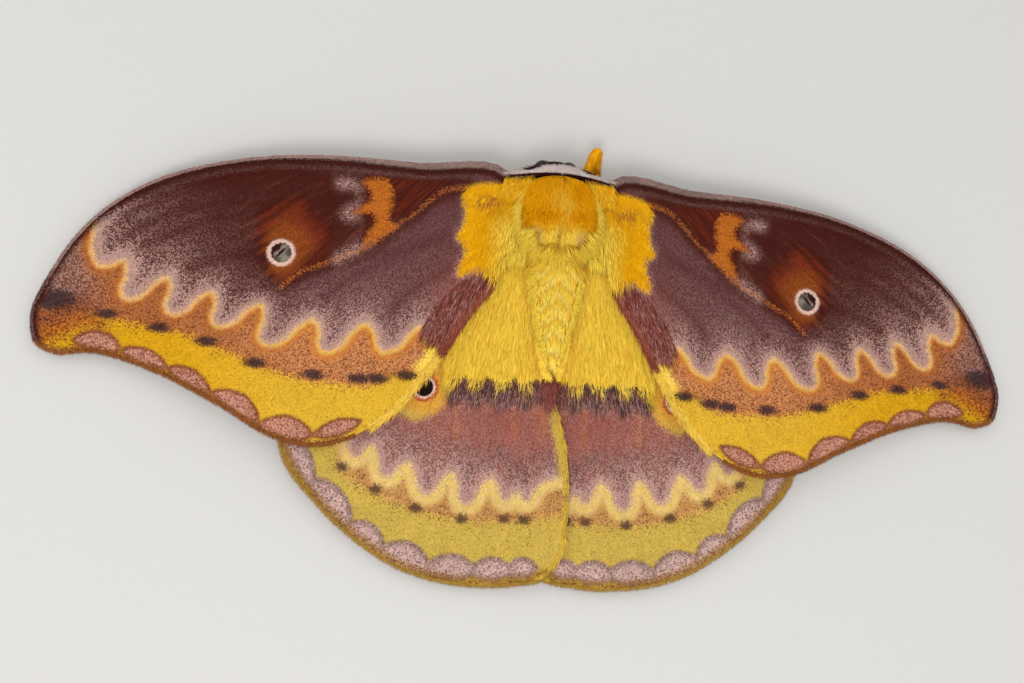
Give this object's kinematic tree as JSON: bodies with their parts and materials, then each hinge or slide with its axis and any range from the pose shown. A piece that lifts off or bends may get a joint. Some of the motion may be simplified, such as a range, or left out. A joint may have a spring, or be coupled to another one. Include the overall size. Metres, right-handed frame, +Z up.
{
  "type": "silk moth model",
  "caption": "Still life-size model of a silk moth at rest, wings spread flat and low like a tent, furry body, comb antennae and legs standing on the floor.",
  "frame": {"origin": "on the floor, under the middle of the moth's overall width and length", "axes": "+X to the wing on the right seen from above with the head at the top, +Y towards the head, +Z up"},
  "size_m": [0.1399, 0.0632, 0.0128],
  "materials": {
    "thorax_fur": "orange-yellow wool",
    "abdomen_fur": "pale yellow fur in rings",
    "head_fur": "dark maroon fur",
    "compound_eye": "glossy black-brown",
    "antenna_comb": "matt orange-yellow",
    "leg_fur": "short orange-brown fur",
    "forewing_scales": "dusty scales, maroon-brown with yellow outer band",
    "hindwing_scales": "dusty scales, mauve-brown and yellow"
  },
  "bodies": {
    "root": {"thorax": "thorax_fur", "abdomen": "abdomen_fur", "head": "head_fur", "eye_left": "compound_eye", "eye_right": "compound_eye", "antenna_left": "antenna_comb", "antenna_right": "antenna_comb", "palp_left": "head_fur", "palp_right": "head_fur", "foreleg_left": "leg_fur", "foreleg_right": "leg_fur", "midleg_left": "leg_fur", "midleg_right": "leg_fur", "hindleg_left": "leg_fur", "hindleg_right": "leg_fur", "forewing_left": "forewing_scales", "forewing_right": "forewing_scales", "hindwing_left": "hindwing_scales", "hindwing_right": "hindwing_scales"}
  },
  "joints": []
}
